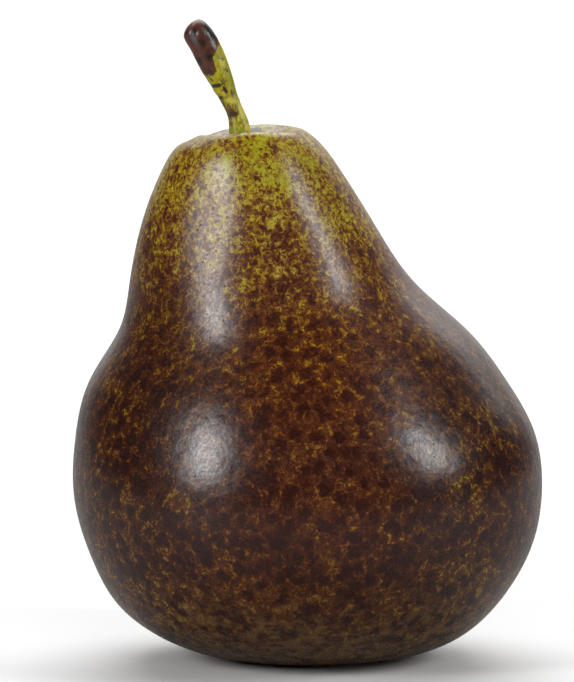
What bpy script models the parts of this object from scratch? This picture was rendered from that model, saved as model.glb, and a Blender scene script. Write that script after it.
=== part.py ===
"""A ripe pear standing on its base, as picked: the fruit, its stem and the dried flower end below.

The origin is under the middle of the belly, on the surface that the pear stands on. +Z is up, the
front of the pear faces -Y, and +X is to the right as seen from the front.

The fruit and the stem are each a stack of rings. A ring runs through one point of the left outline
and one point of the right outline, so the two outlines are what the front view shows.
"""

import math

import bmesh
import bpy
import numpy as np
from mathutils import Vector

MM = 0.001

# Outlines of the fruit, from the bottom of the hollow round the stem to the bottom of the hollow
# under the base. In millimetres: left x, left z, right x, right z, half the depth there, and the y
# of the middle. The neck leans a little to the front. Of each end: x, z and y.
FRUIT_TOP = (-11.4, 88.2, -5.0)
FRUIT_BOTTOM = (1.6, 4.9, 0.0)
FRUIT_RINGS = (
    (-14.4, 88.4, -6.8, 88.6, 4.4, -5.0),  # floor of the stem hollow
    (-16.4, 89.4, -3.9, 89.7, 7.4, -5.0),
    (-18.0, 90.0, -1.7, 90.9, 10.0, -5.0),  # rim round the stem
    (-20.0, 88.9, 0.3, 90.2, 11.7, -5.0),
    (-22.1, 87.7, 2.4, 88.3, 13.3, -4.6),  # shoulder
    (-24.5, 84.2, 5.3, 84.4, 15.8, -3.7),
    (-28.2, 74.4, 11.5, 74.4, 20.1, -2.0),  # neck
    (-30.3, 64.0, 18.6, 64.0, 24.4, -0.1),
    (-32.2, 56.0, 27.3, 56.0, 29.4, 1.0),  # waist
    (-37.4, 47.0, 34.2, 47.2, 35.0, 1.2),
    (-39.6, 37.6, 38.9, 38.4, 38.3, 0.6),
    (-39.6, 26.6, 39.9, 26.6, 38.6, -0.1),  # belly
    (-36.3, 16.2, 37.0, 16.4, 35.6, 0.0),
    (-31.0, 8.1, 29.8, 6.7, 28.4, 0.0),
    (-18.5, 1.4, 19.8, 1.4, 17.0, 0.0),
    (-6.0, -0.25, 9.7, -0.25, 7.4, 0.0),  # base, flattened at the surface it stands on
    (-4.0, -0.25, 7.4, -0.25, 5.4, 0.0),
    (-3.0, 2.2, 6.2, 2.2, 4.4, 0.0),  # wall of the hollow under the base
)

# Outlines of the stem, from its root inside the fruit to its tip, in the same order and units.
STEM_ROOT = (-11.4, 82.9, -5.0)
STEM_TIP = (-19.0, 109.4, -5.4)
STEM_RINGS = (
    (-12.6, 83.4, -10.3, 83.4, 1.2, -5.0),
    (-13.0, 85.5, -10.0, 85.7, 1.5, -5.0),
    (-13.3, 89.4, -9.5, 89.9, 2.0, -5.0),  # foot
    (-13.5, 92.9, -10.6, 93.9, 1.6, -5.0),
    (-14.3, 94.8, -11.6, 96.1, 1.6, -5.0),  # node
    (-16.2, 97.9, -12.5, 99.2, 2.0, -5.1),
    (-18.4, 101.5, -13.9, 103.4, 2.4, -5.2),
    (-20.2, 105.0, -15.5, 106.7, 2.5, -5.3),
    (-20.9, 107.1, -17.0, 108.7, 2.2, -5.4),
)

# The dried flower end in the hollow under the base: five sepals on a small boss, in millimetres.
# A sepal runs along a bent middle line, from its root in the boss to its tip.
CALYX_CENTRE = FRUIT_BOTTOM[0]
SEPALS = 5
SEPAL_ROOT = (0.9, 3.7)  # distance from the middle, and height
SEPAL_BEND = (2.9, 3.3)
SEPAL_TIP = (3.5, 0.7)
SEPAL_HALF_WIDTH = 1.1
SEPAL_HALF_THICKNESS = 0.35
BOSS_RADIUS = 1.9
BOSS_TOP = 4.3
BOSS_HEIGHT = 1.5
BOSS_DIMPLE = 0.5

# The gap that two touching pieces keep, and how finely each body is cut, in rings and segments.
GAP = 0.3
FRUIT_CUTS = (48, 72)
STEM_CUTS = (26, 20)
SEPAL_CUTS = (10, 10)
BOSS_CUTS = (8, 20)
POLE_CROWDING = 0.55

# Slight swellings (+) and flats (-) of the flesh that a real fruit has, off the two outlines:
# degrees round from the right, share of the way down, spread of each, and share of the width.
SWELLINGS = (
    (234, 0.175, 22, 0.07, -0.040),
    (262, 0.62, 34, 0.10, 0.012),
    (318, 0.40, 26, 0.09, -0.014),
    (232, 0.44, 24, 0.08, -0.010),
    (70, 0.66, 40, 0.12, 0.016),
    (120, 0.48, 30, 0.10, -0.020),
    (40, 0.34, 30, 0.09, 0.014),
)

# Where the rim round the stem stands higher (+) or lower (-): degrees round from the right, share
# of the way down, spread of each, and millimetres.
RIM_LOBES = (
    (75, 0.066, 40, 0.022, 0.45),
    (150, 0.066, 24, 0.022, -0.5),
    (268, 0.070, 44, 0.022, 0.75),
)


def loop_spline(points, knots):
    """A smooth closed curve through the points, as a function of the knots' own measure.

    It is the periodic cubic spline, which bends evenly through each point.
    """
    count = len(points)
    spans = np.diff(knots)
    chords = (np.roll(points, -1, axis=0) - points) / spans[:, None]
    system = np.zeros((count, count))
    bends = np.zeros_like(points)
    for i in range(count):
        before, after = spans[i - 1], spans[i]
        system[i, i - 1] += before
        system[i, i] += 2 * (before + after)
        system[i, (i + 1) % count] += after
        bends[i] = 6 * (chords[i] - chords[i - 1])
    bends = np.linalg.solve(system, bends)

    def at(place):
        i = int(np.clip(np.searchsorted(knots, place) - 1, 0, count - 1))
        j, span = (i + 1) % count, spans[i]
        a, b = (knots[i + 1] - place) / span, (place - knots[i]) / span
        curve = (a**3 - a) * bends[i] + (b**3 - b) * bends[j]
        return a * points[i] + b * points[j] + curve * span**2 / 6

    return at


def ring_stack(top, rings, bottom):
    """A function of (share of the way down, angle round) that gives a point of the body.

    The outlines are one closed curve, down the right side and back up the left, and so are the
    depths, so the body is smooth over both of its ends.
    """
    rows = np.array(rings)
    left, right, depth, lean = rows[:, 0:2], rows[:, 2:4], rows[:, 4], rows[:, 5]
    ends = np.array([top[:2], bottom[:2]])
    middle = np.vstack([ends[:1], (left + right) / 2, ends[1:]])
    reach = np.concatenate([[0], np.linalg.norm(right - left, axis=1) / 2, [0]])
    steps = np.hypot(np.linalg.norm(np.diff(middle, axis=0), axis=1), np.diff(reach))
    down = np.concatenate([[0], np.cumsum(steps)]) / steps.sum()
    knots = np.concatenate([down, 1 + (1 - down[::-1])[1:]])
    sides = np.vstack([ends[:1], right, ends[1:], left[::-1]])
    depths = np.concatenate([[0], depth, [0], -depth[::-1]])
    leans = np.concatenate([top[2:], lean, bottom[2:], lean[::-1]])
    outline = loop_spline(sides, knots)
    profile = loop_spline(np.stack([depths, leans], axis=1), knots)

    def point(share, angle):
        right_at, left_at = outline(share), outline(2 - share)
        x, z = (right_at + left_at) / 2 + math.cos(angle) * (right_at - left_at) / 2
        thickness, middle_y = profile(share)
        return Vector((x, middle_y + math.sin(angle) * thickness, z))

    return point


def lumps(table, share, angle):
    """The sum at one place of a table of soft round lumps and dips."""
    total = 0.0
    for degrees, centre, spread, length, amount in table:
        turn = math.remainder(angle - math.radians(degrees), math.tau)
        across, along = turn / math.radians(spread), (share - centre) / length
        total += amount * math.exp(-across * across - along * along)
    return total


fruit_ring = ring_stack(FRUIT_TOP, FRUIT_RINGS, FRUIT_BOTTOM)
stem_ring = ring_stack(STEM_TIP, STEM_RINGS[::-1], STEM_ROOT)


def fruit_point(share, angle):
    """A point of the skin. What would reach below the surface it stands on is flattened."""
    point = fruit_ring(share, angle)
    middle = (fruit_ring(share, 0.0) + fruit_ring(share, math.pi)) / 2
    wider = 1 + lumps(SWELLINGS, share, angle)
    point.x = middle.x + (point.x - middle.x) * wider
    point.y = middle.y + (point.y - middle.y) * wider
    point.z = max(point.z + lumps(RIM_LOBES, share, angle), 0.0)
    return point


def stem_point(share, angle):
    """A point of the bark, with the weak ridges that run along a stalk."""
    point = stem_ring(share, angle)
    middle = (stem_ring(share, 0.0) + stem_ring(share, math.pi)) / 2
    ridge = 1 + 0.03 * math.sin(3 * angle + 2.0) * math.sin(math.pi * share)
    return middle + (point - middle) * ridge


def material(name, colour, roughness):
    """A plain shader of one colour, which is linear RGB."""
    made = bpy.data.materials.new(name)
    made.use_nodes = True
    shader = made.node_tree.nodes["Principled BSDF"]
    shader.inputs["Base Color"].default_value = (*colour, 1.0)
    shader.inputs["Roughness"].default_value = roughness
    shader.inputs["Metallic"].default_value = 0.0
    return made


def add_object(name, mesh, home, finish=None):
    """Puts a mesh in a collection as one named object."""
    made = bpy.data.objects.new(name, mesh)
    home.objects.link(made)
    if finish:
        mesh.materials.append(finish)
    return made


def shaped_sphere(name, place, cuts):
    """A mesh that starts as a sphere, each of whose points is moved to place(share, angle).

    The sphere's poles become the body's two ends, where the rings lie closer together.
    """
    rings, segments = cuts
    mesh = bpy.data.meshes.new(name)
    shell = bmesh.new()
    bmesh.ops.create_uvsphere(shell, u_segments=segments, v_segments=rings, radius=1.0)
    for vertex in shell.verts:
        even = math.acos(max(-1.0, min(1.0, vertex.co.z))) / math.pi
        share = even - POLE_CROWDING * math.sin(math.tau * even) / math.tau
        angle = math.atan2(vertex.co.y, vertex.co.x)
        vertex.co = place(share, angle) * MM
    bmesh.ops.recalc_face_normals(shell, faces=shell.faces)
    shell.to_mesh(mesh)
    shell.free()
    mesh.shade_smooth()
    return mesh


def grow(mesh, by):
    """Moves every point of a closed mesh outwards by the same distance."""
    shell = bmesh.new()
    shell.from_mesh(mesh)
    shell.normal_update()
    moved = [vertex.co + vertex.normal * by for vertex in shell.verts]
    for vertex, place in zip(shell.verts, moved):
        vertex.co = place
    shell.to_mesh(mesh)
    shell.free()


def build_fruit(parts, cutters):
    """The flesh with its skin, and the socket in which the root of the stem sits."""
    skin = material("skin", (0.085, 0.028, 0.013), 0.35)
    fruit = add_object("fruit", shaped_sphere("fruit", fruit_point, FRUIT_CUTS), parts, skin)
    socket_mesh = shaped_sphere("stem_socket", stem_point, STEM_CUTS)
    grow(socket_mesh, GAP * MM)
    socket = add_object("stem_socket", socket_mesh, cutters)
    socket.hide_render = True
    socket.display_type = "WIRE"
    cut = fruit.modifiers.new("stem socket", "BOOLEAN")
    cut.operation = "DIFFERENCE"
    cut.object = socket


def build_stem(parts):
    bark = material("bark", (0.30, 0.27, 0.02), 0.5)
    add_object("stem", shaped_sphere("stem", stem_point, STEM_CUTS), parts, bark)


def sepal_point(turn):
    """The surface of the sepal that points that way, as a function of share and angle."""
    outwards = Vector((math.cos(turn), math.sin(turn), 0.0))
    across = Vector((-math.sin(turn), math.cos(turn), 0.0))
    up = Vector((0.0, 0.0, 1.0))
    middle = Vector((CALYX_CENTRE, 0.0, 0.0))
    root, bend, tip = (middle + outwards * reach + up * height
                       for reach, height in (SEPAL_ROOT, SEPAL_BEND, SEPAL_TIP))

    def point(share, angle):
        line = root * (1 - share)**2 + bend * 2 * share * (1 - share) + tip * share**2
        along = (bend - root) * (1 - share) + (tip - bend) * share
        over = across.cross(along).normalized()
        fullness = math.sqrt(max(0.0, 1 - (2 * share - 1)**4))
        half_width = SEPAL_HALF_WIDTH * fullness * (1 - 0.75 * share**2)
        half_thickness = SEPAL_HALF_THICKNESS * fullness
        return line + across * math.cos(angle) * half_width + over * math.sin(angle) * half_thickness

    return point


def boss_point(share, angle):
    """The surface of the boss that the sepals grow from, dimpled below where the flower's stub was."""
    reach = BOSS_RADIUS * math.sin(math.pi * share)**0.7
    dimple = BOSS_DIMPLE * math.exp(-(reach / BOSS_RADIUS * 2)**2) if share > 0.5 else 0.0
    height = BOSS_TOP - BOSS_HEIGHT * (1 - math.cos(math.pi * share)) / 2 + dimple
    return Vector((CALYX_CENTRE + reach * math.cos(angle), reach * math.sin(angle), height))


def build_calyx(parts):
    """The boss and its sepals, joined into one body."""
    dried = material("dried sepal", (0.045, 0.026, 0.014), 0.8)
    sepals = bpy.data.collections.new("sepals")
    bpy.context.scene.collection.children.link(sepals)
    for i in range(SEPALS):
        place = sepal_point(math.tau * (i + 0.3) / SEPALS)
        add_object(f"sepal_{i + 1}", shaped_sphere(f"sepal_{i + 1}", place, SEPAL_CUTS), sepals)
    boss = add_object("boss", shaped_sphere("boss", boss_point, BOSS_CUTS), parts)
    join = boss.modifiers.new("join the sepals", "BOOLEAN")
    join.operation = "UNION"
    join.operand_type = "COLLECTION"
    join.collection = sepals
    whole = bpy.data.meshes.new_from_object(boss.evaluated_get(bpy.context.evaluated_depsgraph_get()))
    whole.name = "calyx"
    add_object("calyx", whole, parts, dried)
    for thing in [boss, *sepals.objects]:
        bpy.data.objects.remove(thing)
    bpy.data.collections.remove(sepals)


def main():
    for thing in list(bpy.data.objects):
        bpy.data.objects.remove(thing)
    scene = bpy.context.scene.collection
    parts = bpy.data.collections.new("pear")
    cutters = bpy.data.collections.new("cutters")
    scene.children.link(parts)
    scene.children.link(cutters)
    build_fruit(parts, cutters)
    build_stem(parts)
    build_calyx(parts)


main()
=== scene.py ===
"""The looks of a ripe pear: netted brown skin, green stem with a brown cap, dried flower end, small studio.

It is laid out as an add-on and run as a script. Each operator but the studio's dresses one solid of
the frame, in the same place and at the same size. Shapes and materials are given in millimetres, and
lights, floor and camera in metres.
"""

import math
from functools import partial

import bmesh
import bpy
import numpy as np
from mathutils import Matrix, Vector, noise


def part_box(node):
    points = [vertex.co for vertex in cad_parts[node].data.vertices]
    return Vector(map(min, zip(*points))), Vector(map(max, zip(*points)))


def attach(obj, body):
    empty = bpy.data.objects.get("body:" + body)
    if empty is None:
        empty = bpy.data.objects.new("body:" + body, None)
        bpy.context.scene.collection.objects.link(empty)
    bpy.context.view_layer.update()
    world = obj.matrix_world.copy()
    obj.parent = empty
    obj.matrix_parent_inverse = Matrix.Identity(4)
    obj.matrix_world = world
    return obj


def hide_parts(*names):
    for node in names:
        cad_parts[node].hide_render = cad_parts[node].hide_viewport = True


bl_info = {
    "name": "Ripe pear",
    "version": (1, 0, 0),
    "blender": (4, 5, 0),
    "location": "3D View > Sidebar > Pear",
    "description": "Dresses the solids of a pear: skin, stem, dried flower end, and a small studio",
    "category": "Object",
}

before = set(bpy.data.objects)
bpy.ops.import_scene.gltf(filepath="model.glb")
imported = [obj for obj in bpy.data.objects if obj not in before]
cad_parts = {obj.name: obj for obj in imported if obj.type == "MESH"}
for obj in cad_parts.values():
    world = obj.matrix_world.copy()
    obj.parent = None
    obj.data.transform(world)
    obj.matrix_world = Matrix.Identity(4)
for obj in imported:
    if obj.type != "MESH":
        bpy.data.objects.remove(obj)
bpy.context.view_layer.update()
MM = 0.001

# Outlines of the fruit from the floor of the stem hollow down to the roof of the hollow under the
# base. In millimetres: left x, left z, right x, right z, half the depth, y of the middle. Of each
# end: x, z, y.
FRUIT_TOP = (-11.4, 88.2, -5.0)
FRUIT_BOTTOM = (1.6, 4.9, 0.0)
FRUIT_RINGS = (
    (-14.4, 88.4, -6.8, 88.6, 4.4, -5.0),  # floor of the stem hollow
    (-16.4, 89.4, -3.9, 89.7, 7.4, -5.0),
    (-18.0, 90.0, -1.7, 90.9, 10.0, -5.0),  # rim round the stem
    (-20.0, 88.9, 0.3, 90.2, 11.7, -5.0),
    (-22.1, 87.7, 2.4, 88.3, 13.3, -4.6),  # shoulder
    (-24.5, 84.2, 5.3, 84.4, 15.8, -3.7),
    (-28.2, 74.4, 11.5, 74.4, 20.1, -2.0),  # neck
    (-30.3, 64.0, 18.6, 64.0, 24.4, -0.1),
    (-32.2, 56.0, 27.3, 56.0, 29.4, 1.0),  # waist
    (-37.4, 47.0, 34.2, 47.2, 35.0, 1.2),
    (-39.6, 37.6, 38.9, 38.4, 38.3, 0.6),
    (-39.6, 26.6, 39.9, 26.6, 38.6, -0.1),  # belly
    (-36.3, 16.2, 37.0, 16.4, 35.6, 0.0),
    (-31.0, 8.1, 29.8, 6.7, 28.4, 0.0),
    (-18.5, 1.4, 19.8, 1.4, 17.0, 0.0),
    (-6.0, -0.25, 9.7, -0.25, 7.4, 0.0),  # base, flattened at the surface it stands on
    (-4.0, -0.25, 7.4, -0.25, 5.4, 0.0),
    (-3.0, 2.2, 6.2, 2.2, 4.4, 0.0),  # wall of the hollow under the base
)

# Outlines of the stem from its root to its tip, the same way.
STEM_ROOT = (-11.4, 82.9, -5.0)
STEM_TIP = (-19.0, 109.4, -5.4)
STEM_RINGS = (
    (-12.6, 83.4, -10.3, 83.4, 1.2, -5.0),
    (-13.0, 85.5, -10.0, 85.7, 1.5, -5.0),
    (-13.3, 89.4, -9.5, 89.9, 2.0, -5.0),  # foot
    (-13.5, 92.9, -10.6, 93.9, 1.6, -5.0),
    (-14.3, 94.8, -11.6, 96.1, 1.6, -5.0),  # node
    (-16.2, 97.9, -12.5, 99.2, 2.0, -5.1),
    (-18.4, 101.5, -13.9, 103.4, 2.4, -5.2),
    (-20.2, 105.0, -15.5, 106.7, 2.5, -5.3),
    (-20.9, 107.1, -17.0, 108.7, 2.2, -5.4),
)

# Swellings and flats of the flesh: degrees round from the right, share of the way down, spread of
# each, share of the width.
SWELLINGS = (
    (244, 0.180, 22, 0.09, -0.055),
    (286, 0.180, 30, 0.09, 0.028),
    (262, 0.62, 34, 0.10, 0.012),
    (318, 0.40, 26, 0.09, -0.014),
    (232, 0.44, 24, 0.08, -0.010),
    (70, 0.66, 40, 0.12, 0.016),
    (120, 0.48, 30, 0.10, -0.020),
    (40, 0.34, 30, 0.09, 0.014),
)

# Lobes of the rim round the stem: degrees, share of the way down, spread of each, millimetres up.
RIM_LOBES = (
    (75, 0.066, 40, 0.022, 0.45),
    (150, 0.066, 24, 0.022, -0.5),
    (268, 0.070, 44, 0.022, 0.75),
    (185, 0.088, 28, 0.016, 0.35),
)


def closed_spline(points, knots, places):
    """The periodic cubic spline through the points, at an array of places on the knots' measure."""
    count = len(points)
    spans = np.diff(knots)
    chords = (np.roll(points, -1, axis=0) - points) / spans[:, None]
    system = np.zeros((count, count))
    bends = np.zeros_like(points)
    for i in range(count):
        before, after = spans[i - 1], spans[i]
        system[i, i - 1] += before
        system[i, i] += 2 * (before + after)
        system[i, (i + 1) % count] += after
        bends[i] = 6 * (chords[i] - chords[i - 1])
    bends = np.linalg.solve(system, bends)
    i = np.clip(np.searchsorted(knots, places) - 1, 0, count - 1)
    j = (i + 1) % count
    span = spans[i]
    a = ((knots[i + 1] - places) / span)[:, None]
    b = ((places - knots[i]) / span)[:, None]
    curve = (a**3 - a) * bends[i] + (b**3 - b) * bends[j]
    return a * points[i] + b * points[j] + curve * (span**2)[:, None] / 6


def stacked_rings(top, rings, bottom, share, angle):
    """Points of a body made of tilted rings, and the middle of the ring of each, in millimetres."""
    rows = np.array(rings)
    left, right, depth, lean = rows[:, 0:2], rows[:, 2:4], rows[:, 4], rows[:, 5]
    ends = np.array([top[:2], bottom[:2]])
    middle = np.vstack([ends[:1], (left + right) / 2, ends[1:]])
    reach = np.concatenate([[0], np.linalg.norm(right - left, axis=1) / 2, [0]])
    steps = np.hypot(np.linalg.norm(np.diff(middle, axis=0), axis=1), np.diff(reach))
    down = np.concatenate([[0], np.cumsum(steps)]) / steps.sum()
    knots = np.concatenate([down, 1 + (1 - down[::-1])[1:]])
    sides = np.vstack([ends[:1], right, ends[1:], left[::-1]])
    depths = np.concatenate([[0], depth, [0], -depth[::-1]])
    leans = np.concatenate([top[2:], lean, bottom[2:], lean[::-1]])
    right_at = closed_spline(sides, knots, share)
    left_at = closed_spline(sides, knots, 2 - share)
    thick, middle_y = closed_spline(np.stack([depths, leans], axis=1), knots, share).T
    middle = (right_at + left_at) / 2
    x, z = (middle + np.cos(angle)[:, None] * (right_at - left_at) / 2).T
    points = np.stack([x, middle_y + np.sin(angle) * thick, z], axis=1)
    middles = np.stack([middle[:, 0], middle_y, middle[:, 1]], axis=1)
    return points, middles


def lumps(table, share, angle):
    """The sum at each place of a table of soft round lumps and dips."""
    total = np.zeros_like(share)
    for degrees, centre, spread, length, amount in table:
        turn = np.mod(angle - math.radians(degrees) + math.pi, math.tau) - math.pi
        across, along = turn / math.radians(spread), (share - centre) / length
        total += amount * np.exp(-across**2 - along**2)
    return total


def rolled_grid(name, segments, rings, seam):
    """A flat grid that is to be rolled up, with each vertex's share of the way down and angle round.

    Its own map, once round by once down, is the map for the bake.
    """
    bpy.ops.mesh.primitive_grid_add(x_subdivisions=segments, y_subdivisions=rings, size=1.0)
    grid = bpy.context.object
    grid.name = grid.data.name = name
    grid.data.uv_layers[0].name = "OFBake"
    co = np.empty(len(grid.data.vertices) * 3, np.float32)
    grid.data.vertices.foreach_get("co", co)
    x, y, _ = co.reshape(-1, 3).T.astype(float)
    return grid, 0.5 - y, seam + math.tau * (x + 0.5)


def crowded(even, amount):
    """Even steps from end to end, moved closer together at both ends."""
    return even - amount * np.sin(math.tau * even) / math.tau


def fitted(places, box):
    """Places in millimetres as places in metres that fill the solid's own box."""
    low, high = places.min(axis=0), places.max(axis=0)
    box_low, box_high = (np.array(corner) for corner in box)
    return box_low + (places - low) / (high - low) * (box_high - box_low)


def close_up(piece, places, box):
    """Rolls the grid up: gives it its vertices, in millimetres, fitted into the solid's own box.

    The two sides of the grid meet at the seam, and its first and last rows become the two poles.
    """
    piece.data.vertices.foreach_set("co", fitted(places, box).astype(np.float32).ravel())
    shell = bmesh.new()
    shell.from_mesh(piece.data)
    border = [vertex for vertex in shell.verts if vertex.is_boundary]
    bmesh.ops.remove_doubles(shell, verts=border, dist=1e-6)
    shell.to_mesh(piece.data)
    shell.free()
    piece.data.shade_smooth()


def rough(places, size, seed):
    """Soft noise between about -1 and 1 at each place, with lumps of the given size in millimetres."""
    shift = Vector((seed * 17.3, seed * 5.1, seed * 9.7))
    return np.array([noise.fractal(Vector(place) / size + shift, 0.6, 2.0, 3) for place in places])


def feed(tree, socket, value):
    """Links another node's output to an input, or sets the input to a number or a colour."""
    if isinstance(value, bpy.types.NodeSocket):
        tree.links.new(value, socket)
    else:
        socket.default_value = value


def node(tree, kind, inputs=None, **settings):
    """Adds a shader node. An input is a number, a colour or another node's output."""
    made = tree.nodes.new("ShaderNode" + kind)
    for name, value in settings.items():
        setattr(made, name, value)
    for name, value in (inputs or {}).items():
        feed(tree, made.inputs[name], value)
    return made


def maths(tree, operation, *values):
    """The result of one Math node."""
    return node(tree, "Math", dict(enumerate(values)), operation=operation).outputs[0]


def product(tree, first, second):
    """One value times another."""
    return maths(tree, "MULTIPLY", first, second)


def scaled(tree, value, factor, offset):
    """A value times a factor, plus an offset."""
    return maths(tree, "MULTIPLY_ADD", value, factor, offset)


def ease(tree, value, low, high, to_low=0.0, to_high=1.0):
    """A soft step between two values of the input."""
    inputs = {"Value": value, "From Min": low, "From Max": high, "To Min": to_low, "To Max": to_high}
    return node(tree, "MapRange", inputs, interpolation_type="SMOOTHSTEP").outputs[0]


def blend(tree, mask, first, second):
    """A colour between two others."""
    return node(tree, "Mix", {0: mask, 6: first, 7: second}, data_type="RGBA").outputs[2]


def linear(red, green, blue):
    """A colour as a screen shows it, 0 to 255, in the numbers that a shader uses."""
    shares = [value / 255 for value in (red, green, blue)]
    return (*[v / 12.92 if v <= 0.04045 else ((v + 0.055) / 1.055)**2.4 for v in shares], 1.0)


def between(tree, mask, first, second):
    """A colour between two screen colours."""
    return blend(tree, mask, linear(*first), linear(*second))


def tinted(tree, mask, colour, tint):
    """A colour with a screen colour laid over it where the mask says so."""
    return blend(tree, mask, colour, linear(*tint))


def graded(tree, value, stops):
    """A colour ramp from its list of places and screen colours."""
    ramp = node(tree, "ValToRGB", {"Fac": value})
    elements = ramp.color_ramp.elements
    while len(elements) < len(stops):
        elements.new(0.5)
    for element, (spot, colour) in zip(elements, stops):
        element.position = spot
        element.color = linear(*colour)
    return ramp.outputs[0]


def curve(tree, value, points):
    """A number that follows a curve through some points, from 0 to 1 both ways."""
    made = node(tree, "FloatCurve", {"Value": value})
    line = made.mapping.curves[0].points
    while len(line) < len(points):
        line.new(0.5, 0.5)
    for point, place in zip(line, points):
        point.location = place
    made.mapping.update()
    return made.outputs[0]


def on_piece(tree):
    """The place on the piece in millimetres: as a vector, and its x, y and z."""
    place = node(tree, "TexCoord").outputs["Object"]
    mm = node(tree, "VectorMath", {0: place, "Scale": 1000.0}, operation="SCALE").outputs[0]
    return mm, tuple(node(tree, "SeparateXYZ", {0: mm}).outputs)


def distance_from(tree, vector, spot):
    """How far a place is from a fixed spot."""
    return node(tree, "VectorMath", {0: vector, 1: spot}, operation="DISTANCE").outputs["Value"]


def cloudy(tree, vector, scale, detail, roughness):
    """Soft noise about 0.5."""
    inputs = {"Vector": vector, "Scale": scale, "Detail": detail, "Roughness": roughness}
    return node(tree, "TexNoise", inputs).outputs[0]


def cell_distance(tree, vector, scale):
    """How far a place is from the nearest of some scattered points, in cells."""
    inputs = {"Vector": vector, "Scale": scale, "Randomness": 1.0}
    return node(tree, "TexVoronoi", inputs).outputs["Distance"]


def strands(tree, vector, scale, half_width):
    """A mask of soft winding strands: brightest where a noise crosses its own middle."""
    wave = cloudy(tree, vector, scale, 2.0, 0.5)
    away = maths(tree, "ABSOLUTE", maths(tree, "SUBTRACT", wave, 0.5))
    return ease(tree, away, half_width, 0.0)


def raised(tree, relief):
    """The normal of a relief given in millimetres."""
    return node(tree, "Bump", {"Height": relief, "Distance": MM, "Strength": 1.0}).outputs[0]


def pores_group():
    """Tiny pores, as on waxed skin: a node group that gives a mask of their mouths."""
    group = bpy.data.node_groups.new("Pores", "ShaderNodeTree")
    group.interface.new_socket("Position", in_out="INPUT", socket_type="NodeSocketVector")
    for label, default in (("Spacing", 3.0), ("Radius", 0.05), ("Share", 0.5)):
        socket = group.interface.new_socket(label, in_out="INPUT", socket_type="NodeSocketFloat")
        socket.default_value = default
    group.interface.new_socket("Mask", in_out="OUTPUT", socket_type="NodeSocketFloat")
    given = group.nodes.new("NodeGroupInput").outputs
    out = group.nodes.new("NodeGroupOutput").inputs
    scale = maths(group, "DIVIDE", 1.0, given["Spacing"])
    cells = node(group, "TexVoronoi", {"Vector": given["Position"], "Scale": scale, "Randomness": 1.0})
    chance = node(group, "SeparateColor", {"Color": cells.outputs["Color"]}).outputs
    chosen = maths(group, "LESS_THAN", chance[0], given["Share"])
    size = scaled(group, chance[1], given["Radius"], given["Radius"])
    mouth = maths(group, "DIVIDE", cells.outputs["Distance"], size)
    feed(group, out["Mask"], product(group, ease(group, mouth, 1.0, 0.45), chosen))
    return group


def new_material(name):
    """A material with an empty shader, ready for its nodes."""
    made = bpy.data.materials.new(name)
    made.use_nodes = True
    tree = made.node_tree
    return made, tree, tree.nodes["Principled BSDF"]


# The skin's colours, from the maroon ground to the yellow green of the closed net.
SKIN_COLOURS = (
    (0.00, (47, 14, 4)),
    (0.11, (56, 19, 5)),
    (0.25, (68, 28, 9)),
    (0.41, (88, 42, 10)),
    (0.52, (108, 60, 12)),
    (0.62, (127, 83, 12)),
    (0.72, (147, 112, 14)),
    (0.81, (158, 133, 18)),
    (1.00, (174, 162, 40)),
)
LEAF_GREEN = (150, 154, 16)
DARK_SPOT = (34, 17, 10)
LOW_BELLY_TINT = (124, 92, 52)
# Painted reflection: a pale tint for the sheen in the hollow round the stem.
HOLLOW_REFLECTION_TINT = (166, 158, 112)
PORE_BROWN = (24, 13, 9)

# How golden the skin is on the whole: share of 100 mm up, place on the colours above.
GOLD_BY_HEIGHT = (
    (0.0, 0.50),
    (0.10, 0.34),
    (0.22, 0.235),
    (0.36, 0.215),
    (0.46, 0.27),
    (0.56, 0.35),
    (0.68, 0.45),
    (0.78, 0.615),
    (0.86, 0.70),
    (1.0, 0.74),
)

# The layers of the skin's net and speckles: the middle of each, its share on the belly and its share
# round the stem.
LAYER_SHARES = {
    "wide net": (0.27, 0.23, 0.20),
    "fine net": (0.48, 0.13, 0.26),
    "light between dark cells": (0.78, 0.31, 0.05),
    "cloud": (0.5, 0.60, 0.95),
    "blots": (0.5, 0.42, 1.35),
    "patch": (0.5, 0.40, 0.35),
}

# The hollow round the stem, in millimetres: its floor, and the stains on its back wall with the place,
# radius and colour of each.
HOLLOW_FLOOR = (-11.4, -5.0, 88.0)
HOLLOW_STAINS = (
    ((-8.9, 2.6, 89.7), 1.7, (46, 42, 36)),
    ((-6.4, 3.2, 90.0), 0.8, (96, 76, 38)),
    ((-14.2, 1.8, 89.5), 1.3, (52, 40, 34)),
    ((-4.6, 3.0, 90.2), 0.5, (92, 80, 56)),
)

# Relief of the skin, in millimetres, beside its grain.
SWELL_HEIGHT = 0.08
PORE_DEPTH = 0.08


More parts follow.
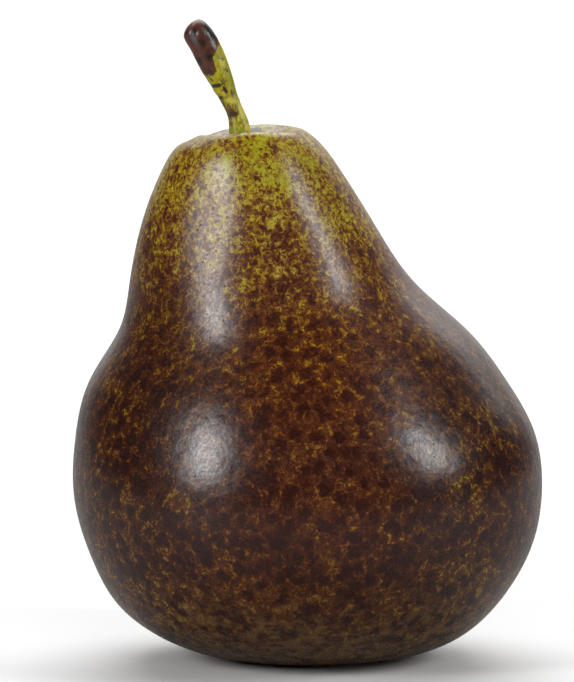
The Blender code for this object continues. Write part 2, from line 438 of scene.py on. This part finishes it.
def skin_layers(tree, mm, look):
    """The layers of the skin's net and speckles by name, and the place as the net bends it."""
    wander = node(tree, "TexNoise", {"Vector": mm, "Scale": 0.9, "Detail": 3.0, "Roughness": 0.6})
    drift = node(tree, "VectorMath", {0: wander.outputs["Color"], 1: (0.5, 0.5, 0.5)}, operation="SUBTRACT")
    shift = node(tree, "VectorMath", {0: drift.outputs[0], "Scale": look.net_wander}, operation="SCALE")
    bent = node(tree, "VectorMath", {0: mm, 1: shift.outputs[0]}, operation="ADD").outputs[0]

    gaps = ease(tree, cloudy(tree, mm, 0.85, 2.0, 0.6), 0.38, 0.60, 0.25, 1.1)
    fine_net = strands(tree, bent, 2.1 / look.cell_size, 0.14)
    wide_net = product(tree, strands(tree, bent, 1.0 / look.cell_size, 0.11), gaps)
    layers = {
        "wide net": product(tree, wide_net, scaled(tree, fine_net, 0.9, 0.5)),
        "fine net": fine_net,
        "light between dark cells": ease(tree, cell_distance(tree, bent, 0.40), 0.26, 0.58),
        "cloud": cloudy(tree, bent, 0.42, 5.0, 0.67),
        "blots": cloudy(tree, bent, 1.05, 2.0, 0.5),
        "patch": cloudy(tree, mm, 0.13, 2.0, 0.5),
    }
    return layers, bent


def skin_colour(tree, mm, across, height, look):
    """A maroon ground under a broken golden net, which closes to yellow green at the top."""
    layers, bent = skin_layers(tree, mm, look)

    # Each layer is added about its own middle, so that the height's curve stays the skin's usual gold.
    upper = ease(tree, height, 44.0, 84.0)
    figure = 0.0
    for name, (middle, low_share, high_share) in LAYER_SHARES.items():
        share = scaled(tree, upper, high_share - low_share, low_share)
        figure = scaled(tree, maths(tree, "SUBTRACT", layers[name], middle), share, figure)

    # Painted shade: the colour is darkened on the flanks, left and right of the front, as if they turned
    # away from the light. Their figure is bolder.
    outwards = maths(tree, "ABSOLUTE", across)
    flank = product(tree, ease(tree, outwards, 7.0, 26.0), ease(tree, height, 80.0, 56.0))
    bolder = scaled(tree, flank, ease(tree, height, 56.0, 42.0, 0.0, 0.32), 1.0)
    gold = curve(tree, maths(tree, "DIVIDE", height, 100.0), GOLD_BY_HEIGHT)
    gold = scaled(tree, figure, bolder, gold)
    flank_shade = scaled(tree, flank, ease(tree, height, 20.0, 46.0, -0.14, -0.32), 1.0)
    colour = graded(tree, gold, SKIN_COLOURS)
    colour = node(tree, "VectorMath", {0: colour, "Scale": flank_shade}, operation="SCALE").outputs[0]

    # Greener round the stem, dark spots on neck and belly, a lighter brown tint low on the belly.
    green = product(tree, ease(tree, height, 74.0, 90.0), ease(tree, layers["patch"], 0.44, 0.64, 0.0, 0.6))
    green = product(tree, green, ease(tree, gold, 0.55, 0.90))
    colour = tinted(tree, green, colour, LEAF_GREEN)
    spots = ease(tree, cell_distance(tree, bent, 0.22), 0.24, 0.08, 0.0, 0.6)
    colour = tinted(tree, product(tree, spots, ease(tree, height, 78.0, 60.0)), colour, DARK_SPOT)
    low_tint = product(tree, ease(tree, height, 20.0, 3.0, 0.0, 0.9), ease(tree, layers["cloud"], 0.44, 0.62))
    colour = tinted(tree, low_tint, colour, LOW_BELLY_TINT)

    # Painted reflection: a pale tint in the hollow stands in for the sheen of the bright surroundings on
    # its walls. Dark stains in the hollow.
    hollow = product(tree, ease(tree, distance_from(tree, mm, HOLLOW_FLOOR), 11.5, 8.0),
                     ease(tree, height, 87.5, 88.5))
    pale = product(tree, hollow, ease(tree, layers["cloud"], 0.36, 0.62, 0.10, 0.50))
    colour = tinted(tree, pale, colour, HOLLOW_REFLECTION_TINT)
    wave = maths(tree, "SUBTRACT", layers["blots"], 0.5)
    for spot, radius, tint in HOLLOW_STAINS:
        ragged = scaled(tree, wave, 2.4, distance_from(tree, mm, spot))
        stained = ease(tree, ragged, radius + 0.6, radius - 0.9, 0.0, 0.85)
        colour = tinted(tree, stained, colour, tint)
    return colour


def skin_material(look):
    """Waxed skin: its colour, its pores and the fine waves of the wax."""
    made, tree, shader = new_material("pear skin")
    mm, (across, _, height) = on_piece(tree)
    colour = skin_colour(tree, mm, across, height, look)
    inputs = {"Position": mm, "Spacing": 1.2, "Radius": 0.075, "Share": 0.75}
    pores = node(tree, "Group", inputs, node_tree=pores_group()).outputs["Mask"]
    colour = tinted(tree, product(tree, pores, 0.8), colour, PORE_BROWN)

    grain = cloudy(tree, mm, 2.2, 1.5, 0.5)
    swell = cloudy(tree, mm, 0.45, 2.0, 0.5)
    relief = scaled(tree, grain, look.grain, product(tree, swell, SWELL_HEIGHT))
    relief = scaled(tree, pores, -PORE_DEPTH, relief)
    sheen = scaled(tree, grain, 0.24, look.roughness - 0.13)
    sheen = maths(tree, "ADD", sheen, ease(tree, height, 56.0, 72.0, 0.0, 0.03))
    feed(tree, shader.inputs["Base Color"], colour)
    feed(tree, shader.inputs["Roughness"], sheen)
    feed(tree, shader.inputs["IOR"], 1.5)
    feed(tree, shader.inputs["Normal"], raised(tree, relief))
    return made


# The bark's colours, and those of the daubs on it and on its cap.
BARK_GREENS = ((152, 146, 4), (184, 172, 18))
DARK_STREAK = (112, 98, 16)
PALE_STREAK = (206, 196, 90)
FLECK = (104, 84, 20)
CAP_BROWNS = ((66, 36, 28), (98, 54, 32))
DAUB_COLOURS = {
    "leafy": (132, 146, 8),
    "cream": (204, 192, 78),
    "rust": (104, 66, 34),
    "mark": (64, 38, 26),
    "burnt": (24, 19, 18),
    # Painted reflection: bluish-grey streaks on the cap, for the shine of the lights.
    "painted_sheen": (96, 90, 92),
}


def bark_material(look):
    """Yellow-green bark with brown marks and cream patches, under a dark brown cap at the tip."""
    made, tree, shader = new_material("stem bark")
    mm, (_, _, height) = on_piece(tree)
    cloud = cloudy(tree, mm, 0.8, 4.0, 0.6)
    fine = cloudy(tree, mm, 3.2, 3.0, 0.65)
    wave = maths(tree, "SUBTRACT", fine, 0.5)

    def painted(name):
        """One of the masks painted on the bark."""
        return node(tree, "Attribute", attribute_name=name, attribute_type="GEOMETRY").outputs["Fac"]

    def laid_on(colour, name, soft):
        """A colour with one kind of daub over it. The daubs' edges are ragged and more or less soft."""
        mask = ease(tree, scaled(tree, wave, 0.9, painted(name)), 0.5 - soft / 2, 0.5 + soft / 2)
        return tinted(tree, mask, colour, DAUB_COLOURS[name])

    green = between(tree, ease(tree, cloud, 0.36, 0.62), *BARK_GREENS)
    stretch = {"Vector": mm, "Scale": (2.6, 2.6, 0.9), "Rotation": (0.0, -0.3, 0.0)}
    streak = cloudy(tree, node(tree, "Mapping", stretch).outputs[0], 1.0, 4.0, 0.65)
    lower = ease(tree, height, 98.0, 95.5, 0.35, 1.0)
    green = tinted(tree, product(tree, ease(tree, streak, 0.52, 0.40), lower), green, DARK_STREAK)
    green = tinted(tree, product(tree, ease(tree, streak, 0.54, 0.66), lower), green, PALE_STREAK)
    for name, soft in (("leafy", 0.9), ("cream", 0.7), ("rust", 0.7)):
        green = laid_on(green, name, soft)
    green = tinted(tree, ease(tree, fine, 0.66, 0.72, 0.0, 0.6), green, FLECK)
    green = laid_on(green, "mark", 0.55)
    brown = between(tree, ease(tree, cloud, 0.34, 0.60), *CAP_BROWNS)
    # Dark burnt spots, and painted reflection in bluish-grey streaks, on the cap.
    for name in ("burnt", "painted_sheen"):
        brown = laid_on(brown, name, 0.8)
    capped = ease(tree, scaled(tree, wave, 1.6, painted("cap")), -0.12, 0.12)

    relief = product(tree, fine, scaled(tree, capped, -0.035, 0.06))
    shine = scaled(tree, capped, -0.10, look.roughness - 0.10)
    feed(tree, shader.inputs["Base Color"], blend(tree, capped, green, brown))
    feed(tree, shader.inputs["Roughness"], scaled(tree, fine, 0.20, shine))
    feed(tree, shader.inputs["Normal"], raised(tree, relief))
    return made


SEPAL_BROWNS = ((62, 44, 30), (134, 106, 72))
SEPAL_FIBRE = (160, 138, 104)
SEPAL_TIP = (34, 24, 18)


def sepal_material():
    """Dry grey-brown sepals and stamens with pale fibres, darker towards their tips."""
    made, tree, shader = new_material("dried sepal")
    mm, (_, _, height) = on_piece(tree)
    cloud = cloudy(tree, mm, 1.4, 4.0, 0.65)
    fibre = cloudy(tree, mm, 6.0, 3.0, 0.6)
    colour = between(tree, ease(tree, cloud, 0.34, 0.66), *SEPAL_BROWNS)
    colour = tinted(tree, ease(tree, fibre, 0.50, 0.72, 0.0, 0.7), colour, SEPAL_FIBRE)
    colour = tinted(tree, ease(tree, height, 1.6, 0.6, 0.0, 0.7), colour, SEPAL_TIP)
    relief = scaled(tree, fibre, 0.05, product(tree, cloud, 0.1))
    feed(tree, shader.inputs["Base Color"], colour)
    feed(tree, shader.inputs["Roughness"], scaled(tree, cloud, 0.2, 0.7))
    feed(tree, shader.inputs["Normal"], raised(tree, relief))
    return made


class PearSkinSettings(bpy.types.PropertyGroup):
    """The skin's cut and finish."""

    segments: bpy.props.IntProperty(
        name="Segments", description="Faces once round the fruit", default=440, min=48, max=440)
    rings: bpy.props.IntProperty(
        name="Rings", description="Faces from the stem to the base", default=214, min=32, max=214)
    cell_size: bpy.props.FloatProperty(
        name="Cell size", description="Spacing of the net's meshes in millimetres",
        default=1.35, min=0.5, max=8.0)
    net_wander: bpy.props.FloatProperty(
        name="Net wander", description="How far the net's strands bend, in millimetres",
        default=1.4, min=0.0, max=8.0)
    grain: bpy.props.FloatProperty(
        name="Grain", description="Height of the wax's fine waves, in millimetres",
        default=0.007, min=0.0, max=0.5)
    roughness: bpy.props.FloatProperty(
        name="Roughness", description="Roughness of the wax",
        default=0.30, min=0.0, max=1.0, subtype="FACTOR")


class PearStemSettings(bpy.types.PropertyGroup):
    """The stem's cut and finish."""

    segments: bpy.props.IntProperty(
        name="Segments", description="Faces once round the stem", default=120, min=12, max=160)
    rings: bpy.props.IntProperty(
        name="Rings", description="Faces from tip to root", default=260, min=20, max=400)
    roughness: bpy.props.FloatProperty(
        name="Roughness", description="Roughness of the bark",
        default=0.42, min=0.0, max=1.0, subtype="FACTOR")


class PearStudioSettings(bpy.types.PropertyGroup):
    """The camera, the lights and the floor."""

    distance: bpy.props.FloatProperty(
        name="Camera distance", description="From the middle of the view",
        default=1.10, min=0.3, unit="LENGTH")
    elevation: bpy.props.FloatProperty(
        name="Camera elevation", description="Above the horizon",
        default=math.radians(6.2), unit="ROTATION")
    key_light: bpy.props.FloatProperty(
        name="Key light", description="Radiance of the two soft boxes, in W/m2 per steradian",
        default=22.0, min=0.0)


class PEAR_OT_skin(bpy.types.Operator):
    """Makes the fruit's skin"""

    bl_idname = "pear.skin"
    bl_label = "Skin"

    def execute(self, context):
        look = context.scene.pear_skin
        skin, even, angle = rolled_grid("skin", look.segments, look.rings, math.pi / 2)
        share = crowded(even, 0.4)
        places, middles = stacked_rings(FRUIT_TOP, FRUIT_RINGS, FRUIT_BOTTOM, share, angle)
        wider = 1 + lumps(SWELLINGS, share, angle)[:, None]
        places[:, :2] = middles[:, :2] + (places[:, :2] - middles[:, :2]) * wider
        places[:, 2] += lumps(RIM_LOBES, share, angle)
        places[:, 2] = np.maximum(places[:, 2], 0.0)
        close_up(skin, places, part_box("fruit"))
        skin.data.materials.append(skin_material(look))
        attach(skin, "root")
        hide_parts("fruit")
        return {"FINISHED"}


# The lower edge of the brown cap: degrees round from the right, height in millimetres.
CAP_EDGE = ((0, 106.1), (60, 104.2), (120, 101.6), (180, 100.1), (250, 100.1), (272, 100.9), (280, 103.2),
            (315, 104.7), (340, 105.5), (360, 106.1))

# Daubs of colour on the bark, in millimetres: x, z, half the length, half the width, degrees from
# level, strength.
STEM_DAUBS = {
    "burnt": (
        (-16.4, 107.6, 1.6, 1.0, 116, 1.1),
        (-19.0, 107.5, 0.7, 0.4, 100, 1.1),
        (-17.9, 105.8, 0.9, 0.6, 112, 0.8),
        (-16.7, 103.4, 0.8, 0.6, 112, 0.8),
        (-18.4, 102.5, 0.9, 0.5, 112, 0.8),
    ),
    # Painted reflection: bluish-grey streaks on the cap.
    "painted_sheen": (
        (-19.3, 106.6, 1.3, 0.4, 112, 0.9),
        (-16.0, 105.4, 0.9, 0.35, 112, 0.8),
    ),
    "mark": (
        (-15.4, 98.4, 0.95, 0.34, 8, 1.1),
        (-13.9, 97.7, 0.75, 0.32, 119, 1.1),
        (-14.5, 99.1, 1.2, 0.12, 131, 0.8),
        (-14.1, 99.2, 0.8, 0.10, 118, 0.8),
        (-16.3, 99.5, 0.6, 0.12, 130, 0.9),
        (-14.6, 103.0, 0.6, 0.14, -12, 0.8),
        (-14.3, 102.7, 0.3, 0.12, 40, 0.8),
        (-13.6, 100.9, 0.5, 0.14, -40, 0.8),
        (-13.7, 99.2, 0.14, 0.14, 0, 1.0),
        (-14.5, 97.5, 0.12, 0.12, 0, 1.0),
        (-14.7, 96.3, 0.34, 0.26, 0, 1.1),
        (-13.1, 101.6, 0.12, 0.12, 0, 0.9),
        (-12.5, 93.6, 0.8, 0.55, 10, 0.95),
    ),
    "rust": (
        (-12.7, 97.1, 0.7, 0.28, 100, 0.9),
        (-13.9, 101.2, 0.4, 0.5, 60, 0.6),
        (-13.0, 93.8, 1.2, 0.9, 100, 0.9),
        (-14.0, 94.2, 1.9, 0.4, 105, 0.9),
        (-12.9, 91.9, 0.5, 0.5, 0, 0.7),
        (-14.6, 96.4, 0.4, 0.3, 0, 0.8),
    ),
    "cream": (
        (-14.4, 102.0, 1.3, 0.5, 105, 0.7),
        (-12.8, 95.9, 1.0, 0.5, -8, 1.0),
        (-11.0, 94.2, 1.9, 0.5, 110, 0.9),
        (-9.9, 91.4, 0.5, 0.7, 0, 1.1),
    ),
    "leafy": (
        (-12.8, 90.9, 0.7, 0.5, 0, 0.9),
        (-10.9, 90.9, 0.8, 0.4, 0, 0.9),
        (-12.5, 99.0, 3.0, 0.45, 107, 0.9),
    ),
}


# Low relief of the stem, in millimetres. The dimple and the fuller tip are placed as daubs are, and the
# ridges' height is a share of the radius.
STEM_RIDGES = 3
RIDGE_SHARE = 0.03
NODE_PLACE = (-13.0, 96.5)
NODE_SLANT = 0.3
NODE_HALF_WIDTH = 0.22
NODE_HEIGHT = 0.10
LEATHER_HEIGHT = 0.05
LEATHER_LUMP = 1.6
MARK_DEPTH = 0.05
DIMPLE = (-19.0, 107.4, 0.55, 0.4, 100, 1.0)
DIMPLE_DEPTH = 0.35
FULL_TIP = (-20.2, 108.2, 1.3, 1.3, 0, 1.0)
FULL_TIP_HEIGHT = 0.16


def daubed(daubs, x, z):
    """The strength of the strongest of some daubs at each place."""
    strongest = np.zeros_like(x)
    for at_x, at_z, half_length, half_width, degrees, strength in daubs:
        turn = math.radians(degrees)
        along = (x - at_x) * math.cos(turn) + (z - at_z) * math.sin(turn)
        over = (z - at_z) * math.cos(turn) - (x - at_x) * math.sin(turn)
        away = (along / half_length)**2 + (over / half_width)**2
        strongest = np.maximum(strongest, strength * np.exp(-0.7 * away))
    return strongest


def stem_relief(places, share, angle, masks):
    """Weak ridges along the stalk as a share of its radius, and the rest of its relief in millimetres."""
    x, z = places[:, 0], places[:, 2]
    ridges = RIDGE_SHARE * np.sin(STEM_RIDGES * angle + 2.0) * np.sin(math.pi * share)
    node_x, node_z = NODE_PLACE
    over_node = z - node_z + NODE_SLANT * (x - node_x)
    node_ring = NODE_HEIGHT * np.exp(-(over_node / NODE_HALF_WIDTH)**2)
    lumpy = 1 + 0.8 * rough(places, LEATHER_LUMP, 3)
    leather = LEATHER_HEIGHT * np.clip(masks["cap"] / 0.3, 0, 1) * lumpy
    dimple = -DIMPLE_DEPTH * daubed((DIMPLE,), x, z)
    sunk = -MARK_DEPTH * np.clip(masks["mark"], 0, 1) * (masks["cap"] < 0)
    fuller = FULL_TIP_HEIGHT * daubed((FULL_TIP,), x, z)
    return ridges, node_ring + leather + dimple + sunk + fuller


class PEAR_OT_stem(bpy.types.Operator):
    """Makes the stem"""

    bl_idname = "pear.stem"
    bl_label = "Stem"

    def execute(self, context):
        look = context.scene.pear_stem
        stem, even, angle = rolled_grid("stem_bark", look.segments, look.rings, math.pi / 2)
        share = crowded(even, 0.5)
        places, middles = stacked_rings(STEM_TIP, STEM_RINGS[::-1], STEM_ROOT, share, angle)
        x, z = places[:, 0], places[:, 2]
        degrees_round = np.mod(np.degrees(angle), 360.0)
        masks = {"cap": z - np.interp(degrees_round, *zip(*CAP_EDGE))}
        for name, daubs in STEM_DAUBS.items():
            masks[name] = daubed(daubs, x, z)
        for name, values in masks.items():
            mask = stem.data.attributes.new(name, "FLOAT", "POINT")
            mask.data.foreach_set("value", values.astype(np.float32))

        radius = np.linalg.norm(places - middles, axis=1)
        ridges, higher = stem_relief(places, share, angle, masks)
        wider = 1 + ridges + higher / np.maximum(radius, 0.6)
        places = middles + (places - middles) * wider[:, None]
        close_up(stem, places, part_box("stem"))
        stem.data.materials.append(bark_material(look))
        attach(stem, "root")
        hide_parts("stem")
        return {"FINISHED"}


# The dried flower end, in millimetres. A sepal's line goes from a root past a bend to a tip, each given
# as its distance from the flower end's own middle and its height. A grid is faces round by faces along.
CALYX_CENTRE = FRUIT_BOTTOM[0]
SEPALS = 5
SEPAL_GRID = (40, 48)
SEPAL_LINE = ((0.9, 3.7), (2.9, 3.3), (3.5, 0.7))
SEPAL_HALF_WIDTH = 1.1
SEPAL_HALF_THICKNESS = 0.2
SEPAL_CURL = 0.42
SEPAL_VEINS = 0.05
SEPAL_CREASES = 0.07
BOSS_GRID = (48, 24)
BOSS_RADIUS = 1.9
BOSS_TOP = 4.3
BOSS_HEIGHT = 1.5
BOSS_RIDGES = 11
BOSS_DIMPLE = 0.5
STAMENS = 14
STAMEN_GRID = (10, 24)
STAMEN_RADIUS = 0.07
STAMEN_HEAD = 0.12
STAMEN_FOOT = (0.8, 3.1)


def directions(turn):
    """The way outwards from the flower end's middle at an angle round it, and the way across that."""
    return np.array([math.cos(turn), math.sin(turn), 0.0]), np.array([-math.sin(turn), math.cos(turn), 0.0])


def at_height(height):
    """The place in the middle of the flower end at a height."""
    return np.array([CALYX_CENTRE, 0.0, height])


def bent_line(root, bend, tip, across, share):
    """A curve from a root past a bend to a tip, and the way off it that is square to the way across."""
    share = share[:, None]
    line = root * (1 - share)**2 + bend * 2 * share * (1 - share) + tip * share**2
    along = (bend - root) * (1 - share) + (tip - bend) * share
    over = np.cross(np.broadcast_to(across, along.shape), along)
    return line, over / np.linalg.norm(over, axis=1)[:, None]


def rounded_ends(share, power):
    """From 0 at both ends to 1 between them: the higher the power, the blunter the ends."""
    return np.sqrt(np.clip(1 - (2 * share - 1)**power, 0, 1))


def sepal_places(number, share, angle):
    """The surface of one ragged sepal, which curls up along its edges and has three weak veins."""
    outwards, across = directions(math.tau * (number + 0.3) / SEPALS)
    root, bend, tip = (at_height(height) + outwards * reach for reach, height in SEPAL_LINE)
    tip = tip + across * 0.5 * math.sin(2.3 * number) + outwards * 0.2 * math.cos(1.7 * number)
    line, over = bent_line(root, bend, tip, across, share)
    side = np.cos(angle)
    torn = rough(np.stack([side * 0.6, share * 7, np.full_like(share, number * 3.0)], axis=1), 1.0, 7)
    fullness = rounded_ends(share, 4)
    half_width = SEPAL_HALF_WIDTH * fullness * (1 - 0.75 * share**2) * (1 + 0.16 * torn)
    curl = (SEPAL_CURL * side**2 + SEPAL_VEINS * np.cos(3 * math.pi * side)) * share * fullness
    crease = SEPAL_CREASES * torn * fullness
    height = SEPAL_HALF_THICKNESS * fullness * np.sin(angle) + curl + crease
    return line + across * (side * half_width)[:, None] + over * height[:, None]


def boss_places(share, angle):
    """The surface of the boss that the sepals grow from, ridged round its edge and dimpled below."""
    reach = BOSS_RADIUS * np.sin(math.pi * np.clip(share, 0, 1))**0.7
    reach = reach * (1 + 0.04 * np.sin(BOSS_RIDGES * angle))
    dimple = np.where(share > 0.5, BOSS_DIMPLE * np.exp(-(reach / BOSS_RADIUS * 2)**2), 0.0)
    height = BOSS_TOP - BOSS_HEIGHT * (1 - np.cos(math.pi * share)) / 2 + dimple
    return np.stack([CALYX_CENTRE + reach * np.cos(angle), reach * np.sin(angle), height], axis=1)


def stamen_places(number, share, angle):
    """The surface of one dried thread with its small head."""
    outwards, across = directions(math.tau * number / STAMENS + 0.25 * math.sin(5.0 * number))
    foot_reach, foot_height = STAMEN_FOOT
    foot = at_height(foot_height) + outwards * foot_reach
    head = at_height(1.35 + 0.35 * math.cos(4.3 * number)) + outwards * (1.5 + 0.5 * math.sin(3.1 * number))
    head = head + across * 0.5 * math.sin(7.7 * number)
    bend = (foot + head) / 2 + outwards * 0.45
    line, over = bent_line(foot, bend, head, across, share)
    radius = STAMEN_RADIUS + STAMEN_HEAD * np.exp(-((share - 0.9) / 0.07)**2)
    radius = radius * rounded_ends(share, 8)
    return line + across * (radius * np.cos(angle))[:, None] + over * (radius * np.sin(angle))[:, None]


class PEAR_OT_flower_end(bpy.types.Operator):
    """Makes the dried sepals and stamens under the base"""

    bl_idname = "pear.flower_end"
    bl_label = "Flower end"

    def execute(self, context):
        shapes = [(BOSS_GRID, boss_places)]
        shapes += [(SEPAL_GRID, partial(sepal_places, number)) for number in range(SEPALS)]
        shapes += [(STAMEN_GRID, partial(stamen_places, number)) for number in range(STAMENS)]
        shell = bmesh.new()
        for (segments, rings), shape in shapes:
            grid, even, angle = rolled_grid("dried_part", segments, rings, 0.0)
            grid.data.vertices.foreach_set("co", shape(even, angle).astype(np.float32).ravel())
            shell.from_mesh(grid.data)
            bpy.data.meshes.remove(grid.data)
        border = [vertex for vertex in shell.verts if vertex.is_boundary]
        bmesh.ops.remove_doubles(shell, verts=border, dist=1e-4)
        bmesh.ops.recalc_face_normals(shell, faces=shell.faces)
        places = fitted(np.array([vertex.co for vertex in shell.verts]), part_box("calyx"))
        for vertex, place in zip(shell.verts, places):
            vertex.co = place
        mesh = bpy.data.meshes.new("flower_end")
        shell.to_mesh(mesh)
        shell.free()
        mesh.uv_layers.remove(mesh.uv_layers[0])
        mesh.shade_smooth()
        mesh.materials.append(sepal_material())
        flower_end = bpy.data.objects.new("flower_end", mesh)
        context.scene.collection.objects.link(flower_end)
        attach(flower_end, "root")
        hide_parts("calyx")
        return {"FINISHED"}


# The studio, in metres and degrees round from the front. Of each soft box: name, degrees, height, how
# tall it is, share of the key light.
SOFT_BOXES = (
    ("key_left", -53, 0.46, 0.40, 0.97),
    ("key_right", 69, 0.58, 0.46, 0.72),
)
SOFT_BOX_WIDTH = 0.21
FLOOR_SIZE = 12.0
LIT_POINT = (0, 0, 0.05)
VIEW_POINT = (-0.00345, 0.0, 0.0544)
SENSOR = 36.0
PICTURE_HEIGHT = 682
PIXELS_PER_METRE = 5875


def area_light(name, place, target, width, height, radiance):
    """A soft box: a flat light that faces its target."""
    lamp = bpy.data.lights.new(name, "AREA")
    lamp.shape = "RECTANGLE"
    lamp.size = width
    lamp.size_y = height
    lamp.energy = radiance * math.pi * width * height
    made = bpy.data.objects.new(name, lamp)
    made.location = place
    made.rotation_euler = (Vector(place) - Vector(target)).to_track_quat("Z", "Y").to_euler()
    bpy.context.scene.collection.objects.link(made)
    return made


def floor_material():
    """A pale floor to the camera, and a darker one to the pear, which reflects it."""
    made, tree, shader = new_material("pale floor")
    cloud = cloudy(tree, node(tree, "TexCoord").outputs["Object"], 3.0, 2.0, 0.5)
    pale = blend(tree, cloud, (0.90, 0.90, 0.90, 1), (0.93, 0.93, 0.93, 1))
    seen = node(tree, "LightPath").outputs["Is Camera Ray"]
    feed(tree, shader.inputs["Base Color"], blend(tree, seen, (0.30, 0.30, 0.30, 1), pale))
    feed(tree, shader.inputs["Roughness"], 0.6)
    return made


def studio_world():
    """White to the camera. To the pear it is dim, with pale surfaces far behind it and to the right."""
    world = bpy.data.worlds.new("studio")
    world.use_nodes = True
    tree = world.node_tree
    way = node(tree, "TexCoord").outputs["Generated"]
    x, y, z = node(tree, "SeparateXYZ", {0: way}).outputs[:3]
    level = maths(tree, "SQRT", maths(tree, "ADD", product(tree, x, x), product(tree, y, y)))
    backwards = maths(tree, "DIVIDE", y, level)
    behind = maths(tree, "ADD", ease(tree, backwards, 0.84, 0.96, 0.0, 0.58),
                   ease(tree, backwards, 0.60, 0.86, 0.0, 0.16))
    aside = product(tree, ease(tree, x, 0.20, 0.45), ease(tree, z, 0.15, 0.40, 0.0, 1.7))
    aside = product(tree, ease(tree, backwards, 0.62, 0.80), aside)
    pale = maths(tree, "MAXIMUM", behind, aside)
    strength = scaled(tree, pale, ease(tree, z, 0.78, 0.55), 0.05)
    seen = node(tree, "LightPath").outputs["Is Camera Ray"]
    background = tree.nodes["Background"]
    feed(tree, background.inputs["Strength"], maths(tree, "MAXIMUM", strength, seen))
    feed(tree, background.inputs["Color"], (1.0, 1.0, 1.0, 1.0))
    return world


class PEAR_OT_studio(bpy.types.Operator):
    """Makes the floor, the lights and the camera"""

    bl_idname = "pear.studio"
    bl_label = "Studio"

    def execute(self, context):
        look = context.scene.pear_studio
        scene = context.scene
        scene.view_settings.view_transform = "Standard"
        bpy.ops.mesh.primitive_grid_add(
            x_subdivisions=4, y_subdivisions=4, size=FLOOR_SIZE, location=(0, 0, 0))
        floor = context.object
        floor.name = "floor"
        floor.data.materials.append(floor_material())
        scene.world = studio_world()

        for name, degrees, height, tall, share in SOFT_BOXES:
            turn = math.radians(degrees)
            place = (math.sin(turn), -math.cos(turn), height)
            area_light(name, place, LIT_POINT, SOFT_BOX_WIDTH, tall, look.key_light * share)
        # The fill lights the colours alone and leaves no shine of its own.
        fill = area_light("fill_light", (0.2, -1.3, 0.6), LIT_POINT, 0.8, 0.8, 2.5)
        area_light("background_light", (0, 1.6, 1.9), (0, 1.6, 0), 2.4, 2.4, 3.6)
        fill.visible_glossy = False

        camera = bpy.data.objects.new("camera", bpy.data.cameras.new("camera"))
        scene.collection.objects.link(camera)
        back = Vector((0, -math.cos(look.elevation), math.sin(look.elevation)))
        camera.location = Vector(VIEW_POINT) + back * look.distance
        camera.rotation_euler = back.to_track_quat("Z", "Y").to_euler()
        camera.data.sensor_width = SENSOR
        camera.data.lens = SENSOR * look.distance * PIXELS_PER_METRE / PICTURE_HEIGHT
        camera.data.clip_start = 0.05
        scene.camera = camera
        return {"FINISHED"}


class PEAR_PT_panel(bpy.types.Panel):
    """Lists the pear's pieces"""

    bl_idname = "PEAR_PT_panel"
    bl_label = "Pear"
    bl_space_type = "VIEW_3D"
    bl_region_type = "UI"
    bl_category = "Pear"

    def draw(self, context):
        for operator in OPERATORS:
            self.layout.operator(operator.bl_idname)


OPERATORS = (PEAR_OT_skin, PEAR_OT_stem, PEAR_OT_flower_end, PEAR_OT_studio)
SETTINGS = (
    ("pear_skin", PearSkinSettings),
    ("pear_stem", PearStemSettings),
    ("pear_studio", PearStudioSettings),
)


def register():
    for name, settings in SETTINGS:
        bpy.utils.register_class(settings)
        setattr(bpy.types.Scene, name, bpy.props.PointerProperty(type=settings))
    for operator in OPERATORS:
        bpy.utils.register_class(operator)
    bpy.utils.register_class(PEAR_PT_panel)


def unregister():
    bpy.utils.unregister_class(PEAR_PT_panel)
    for operator in reversed(OPERATORS):
        bpy.utils.unregister_class(operator)
    for name, settings in reversed(SETTINGS):
        delattr(bpy.types.Scene, name)
        bpy.utils.unregister_class(settings)


def main():
    register()
    bpy.ops.pear.skin()
    bpy.ops.pear.stem()
    bpy.ops.pear.flower_end()
    bpy.ops.pear.studio()


if __name__ == "__main__":
    main()
